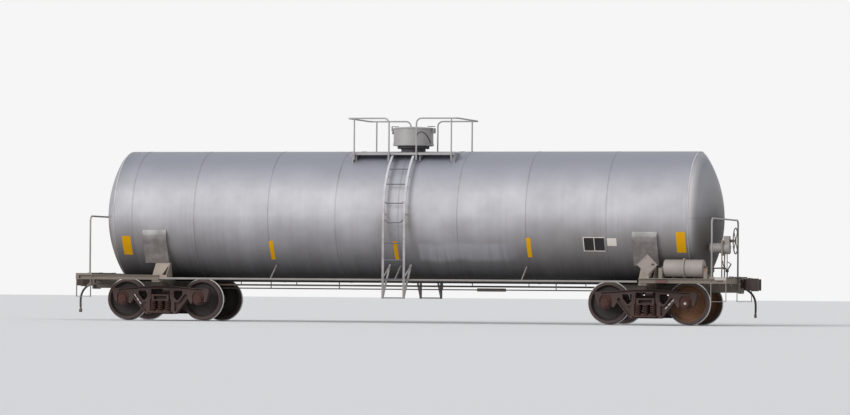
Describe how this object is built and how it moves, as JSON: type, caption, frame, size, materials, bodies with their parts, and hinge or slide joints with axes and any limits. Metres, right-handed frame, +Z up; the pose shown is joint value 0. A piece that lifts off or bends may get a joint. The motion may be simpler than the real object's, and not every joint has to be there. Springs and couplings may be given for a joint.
{
  "type": "scale test car",
  "caption": "Railway test-weight car in tank-car form: a long jacketed tank with a valve dome, top walkway, side ladders and end platforms, on swivelling four-wheel trucks.",
  "frame": {"origin": "on the floor at the tips of the wheel flanges, below the middle of the car; the rail top is 25.4 mm above it", "axes": "+X along the car towards its brake end (b), +Y to the side away from the picture's camera, +Z up"},
  "size_m": [15.75, 3.23, 4.5522],
  "materials": {
    "tank_jacket": "dull silver paint, streaked",
    "frame_paint": "weathered grey paint",
    "rail_paint": "weathered light grey paint",
    "dome_paint": "dull silver paint",
    "reservoir_paint": "light grey paint",
    "placard_paint": "pale paint, blank",
    "valve_steel": "dull",
    "pipe_steel": "dark dull paint",
    "cast_fittings": "dull",
    "hose_rubber": "dull black",
    "truck_casting": "dusty brown-grey",
    "spring_steel": "rust red",
    "bearing_steel": "rust brown",
    "wheel_steel": "rusty, polished tread",
    "axle_steel": "rusty",
    "coupler_casting": "rusty brown"
  },
  "bodies": {
    "car_body": {"tank": "tank_jacket", "saddle_covers": "tank_jacket", "draft_sill_a": "frame_paint", "draft_sill_b": "frame_paint", "body_bolster_a": "frame_paint", "body_bolster_b": "frame_paint", "end_platform_a": "frame_paint", "end_platform_b": "frame_paint", "end_railing_a": "rail_paint", "end_railing_b": "rail_paint", "sill_steps_a": "rail_paint", "sill_steps_b": "rail_paint", "ladder_stiles": "rail_paint", "ladder_rungs": "rail_paint", "side_handrail_near": "rail_paint", "side_handrail_far": "rail_paint", "top_platform": "rail_paint", "top_railings": "rail_paint", "manway": "tank_jacket", "dome_housing": "dome_paint", "dome_valves": "valve_steel", "train_pipe": "pipe_steel", "angle_cocks": "cast_fittings", "brake_hose_a": "hose_rubber", "brake_hose_b": "hose_rubber", "glad_hand_a": "cast_fittings", "glad_hand_b": "cast_fittings", "uncoupling_levers": "pipe_steel", "placard_holders": "placard_paint", "control_valve": "cast_fittings", "brake_rods": "pipe_steel", "air_reservoir": "reservoir_paint", "reservoir_brackets": "frame_paint", "hand_brake_housing": "cast_fittings", "hand_brake_wheel": "pipe_steel", "hand_brake_stand": "frame_paint", "brake_cylinder": "cast_fittings"},
    "lid": {"dome_lid": "dome_paint"},
    "truck_a": {"side_frames_a": "truck_casting", "truck_bolster_a": "truck_casting", "springs_a": "spring_steel", "brake_beams_a": "truck_casting", "bearings_a": "bearing_steel"},
    "wheelset_a1": {"wheels_a1": "wheel_steel", "axle_a1": "axle_steel"},
    "wheelset_a2": {"wheels_a2": "wheel_steel", "axle_a2": "axle_steel"},
    "coupler_a": {"coupler_a": "coupler_casting", "knuckle_a": "coupler_casting"},
    "truck_b": {"side_frames_b": "truck_casting", "truck_bolster_b": "truck_casting", "springs_b": "spring_steel", "brake_beams_b": "truck_casting", "bearings_b": "bearing_steel"},
    "wheelset_b1": {"wheels_b1": "wheel_steel", "axle_b1": "axle_steel"},
    "wheelset_b2": {"wheels_b2": "wheel_steel", "axle_b2": "axle_steel"},
    "coupler_b": {"coupler_b": "coupler_casting", "knuckle_b": "coupler_casting"}
  },
  "joints": [
    {"name": "truck_a_swivel", "type": "hinge", "parent": "car_body", "child": "truck_a", "pos_m": [-5.56, 0, 0.6794], "axis": [0, 0, 1], "range_deg": [-6, 6]},
    {"name": "wheelset_a1_spin", "type": "hinge", "parent": "truck_a", "child": "wheelset_a1", "pos_m": [-6.449, 0, 0.4826], "axis": [0, 1, 0], "continuous": true},
    {"name": "wheelset_a2_spin", "type": "hinge", "parent": "truck_a", "child": "wheelset_a2", "pos_m": [-4.671, 0, 0.4826], "axis": [0, 1, 0], "continuous": true},
    {"name": "coupler_a_swing", "type": "hinge", "parent": "car_body", "child": "coupler_a", "pos_m": [-7.06, 0, 0.9014], "axis": [0, 0, 1], "range_deg": [-7, 7]},
    {"name": "truck_b_swivel", "type": "hinge", "parent": "car_body", "child": "truck_b", "pos_m": [5.56, 0, 0.6794], "axis": [0, 0, 1], "range_deg": [-6, 6]},
    {"name": "wheelset_b1_spin", "type": "hinge", "parent": "truck_b", "child": "wheelset_b1", "pos_m": [4.671, 0, 0.4826], "axis": [0, 1, 0], "continuous": true},
    {"name": "wheelset_b2_spin", "type": "hinge", "parent": "truck_b", "child": "wheelset_b2", "pos_m": [6.449, 0, 0.4826], "axis": [0, 1, 0], "continuous": true},
    {"name": "coupler_b_swing", "type": "hinge", "parent": "car_body", "child": "coupler_b", "pos_m": [7.06, 0, 0.9014], "axis": [0, 0, 1], "range_deg": [-7, 7]},
    {"name": "lid_hinge", "type": "hinge", "parent": "car_body", "child": "lid", "pos_m": [0.479, 0, 4.3374], "axis": [0, 1, 0], "range_deg": [0, 105]}
  ]
}
